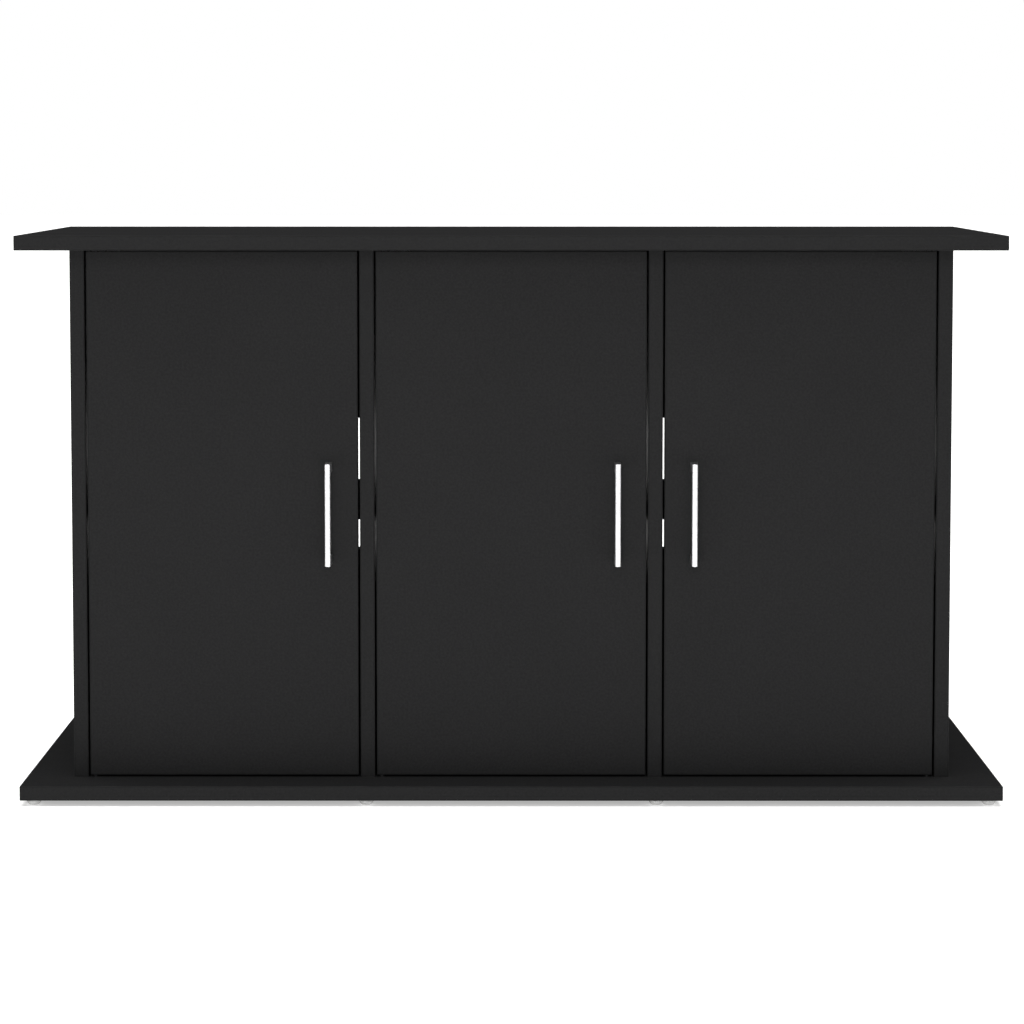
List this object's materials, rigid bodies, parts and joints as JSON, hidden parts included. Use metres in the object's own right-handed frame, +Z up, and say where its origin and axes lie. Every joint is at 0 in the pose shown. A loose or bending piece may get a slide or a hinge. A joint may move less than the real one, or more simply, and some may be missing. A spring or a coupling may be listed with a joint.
{
  "type": "aquarium stand cabinet",
  "caption": "Low wide cabinet that carries a fish tank: overhanging top and base boards, hinged doors with bow handles, shelves, and an open slot at the back for hoses.",
  "frame": {"origin": "on the floor, in the middle of the footprint, under the feet", "axes": "+X to the right along the width, +Y from the doors to the back, +Z up"},
  "size_m": [1.01, 0.41, 0.586],
  "materials": {
    "board": "satin black melamine",
    "chrome": "polished",
    "nickel": "nickel plated",
    "dark_steel": "blackened",
    "zinc": "zinc plated",
    "black_plastic": "fine texture",
    "foot_plastic": "smooth, pale grey",
    "beech": "bare, fluted",
    "magnet": "bare ferrite and steel poles"
  },
  "bodies": {
    "carcass": {"top_board": "board", "base_board": "board", "left_side_panel": "board", "right_side_panel": "board", "left_divider": "board", "right_divider": "board", "left_shelf": "board", "centre_shelf": "board", "right_shelf": "board", "left_lower_back_board": "board", "centre_lower_back_board": "board", "right_lower_back_board": "board", "left_upper_back_board": "board", "centre_upper_back_board": "board", "right_upper_back_board": "board", "cam_bolts": "zinc", "cams": "zinc", "cam_cover_caps": "black_plastic", "top_dowels": "beech", "base_dowels": "beech", "back_board_dowels": "beech", "base_screws": "zinc", "shelf_pins": "nickel", "front_foot_nails": "zinc", "rear_foot_nails": "zinc", "pivot_washers": "black_plastic", "catch_magnets": "magnet", "catch_screws": "zinc", "left_pivot_pins": "dark_steel", "centre_pivot_pins": "dark_steel", "right_pivot_pins": "dark_steel", "left_catch_housing": "black_plastic", "centre_catch_housing": "black_plastic", "right_catch_housing": "black_plastic", "front_feet": "foot_plastic", "rear_feet": "foot_plastic"},
    "left_door": {"left_door": "board", "left_door_handle": "chrome", "left_handle_screws": "zinc", "left_pivot_plates": "nickel", "left_pivot_plate_screws": "zinc", "left_strike_plate": "nickel", "left_strike_screw": "zinc"},
    "centre_door": {"centre_door": "board", "centre_door_handle": "chrome", "centre_handle_screws": "zinc", "centre_pivot_plates": "nickel", "centre_pivot_plate_screws": "zinc", "centre_strike_plate": "nickel", "centre_strike_screw": "zinc"},
    "right_door": {"right_door": "board", "right_door_handle": "chrome", "right_handle_screws": "zinc", "right_pivot_plates": "nickel", "right_pivot_plate_screws": "zinc", "right_strike_plate": "nickel", "right_strike_screw": "zinc"}
  },
  "joints": [
    {"name": "left_door_hinge", "type": "hinge", "parent": "carcass", "child": "left_door", "pos_m": [-0.4335, -0.151, 0.296], "axis": [0, 0, -1], "range_deg": [0, 110]},
    {"name": "centre_door_hinge", "type": "hinge", "parent": "carcass", "child": "centre_door", "pos_m": [-0.13483, -0.151, 0.296], "axis": [0, 0, -1], "range_deg": [0, 110]},
    {"name": "right_door_hinge", "type": "hinge", "parent": "carcass", "child": "right_door", "pos_m": [0.4335, -0.151, 0.296], "axis": [0, 0, 1], "range_deg": [0, 110]}
  ]
}
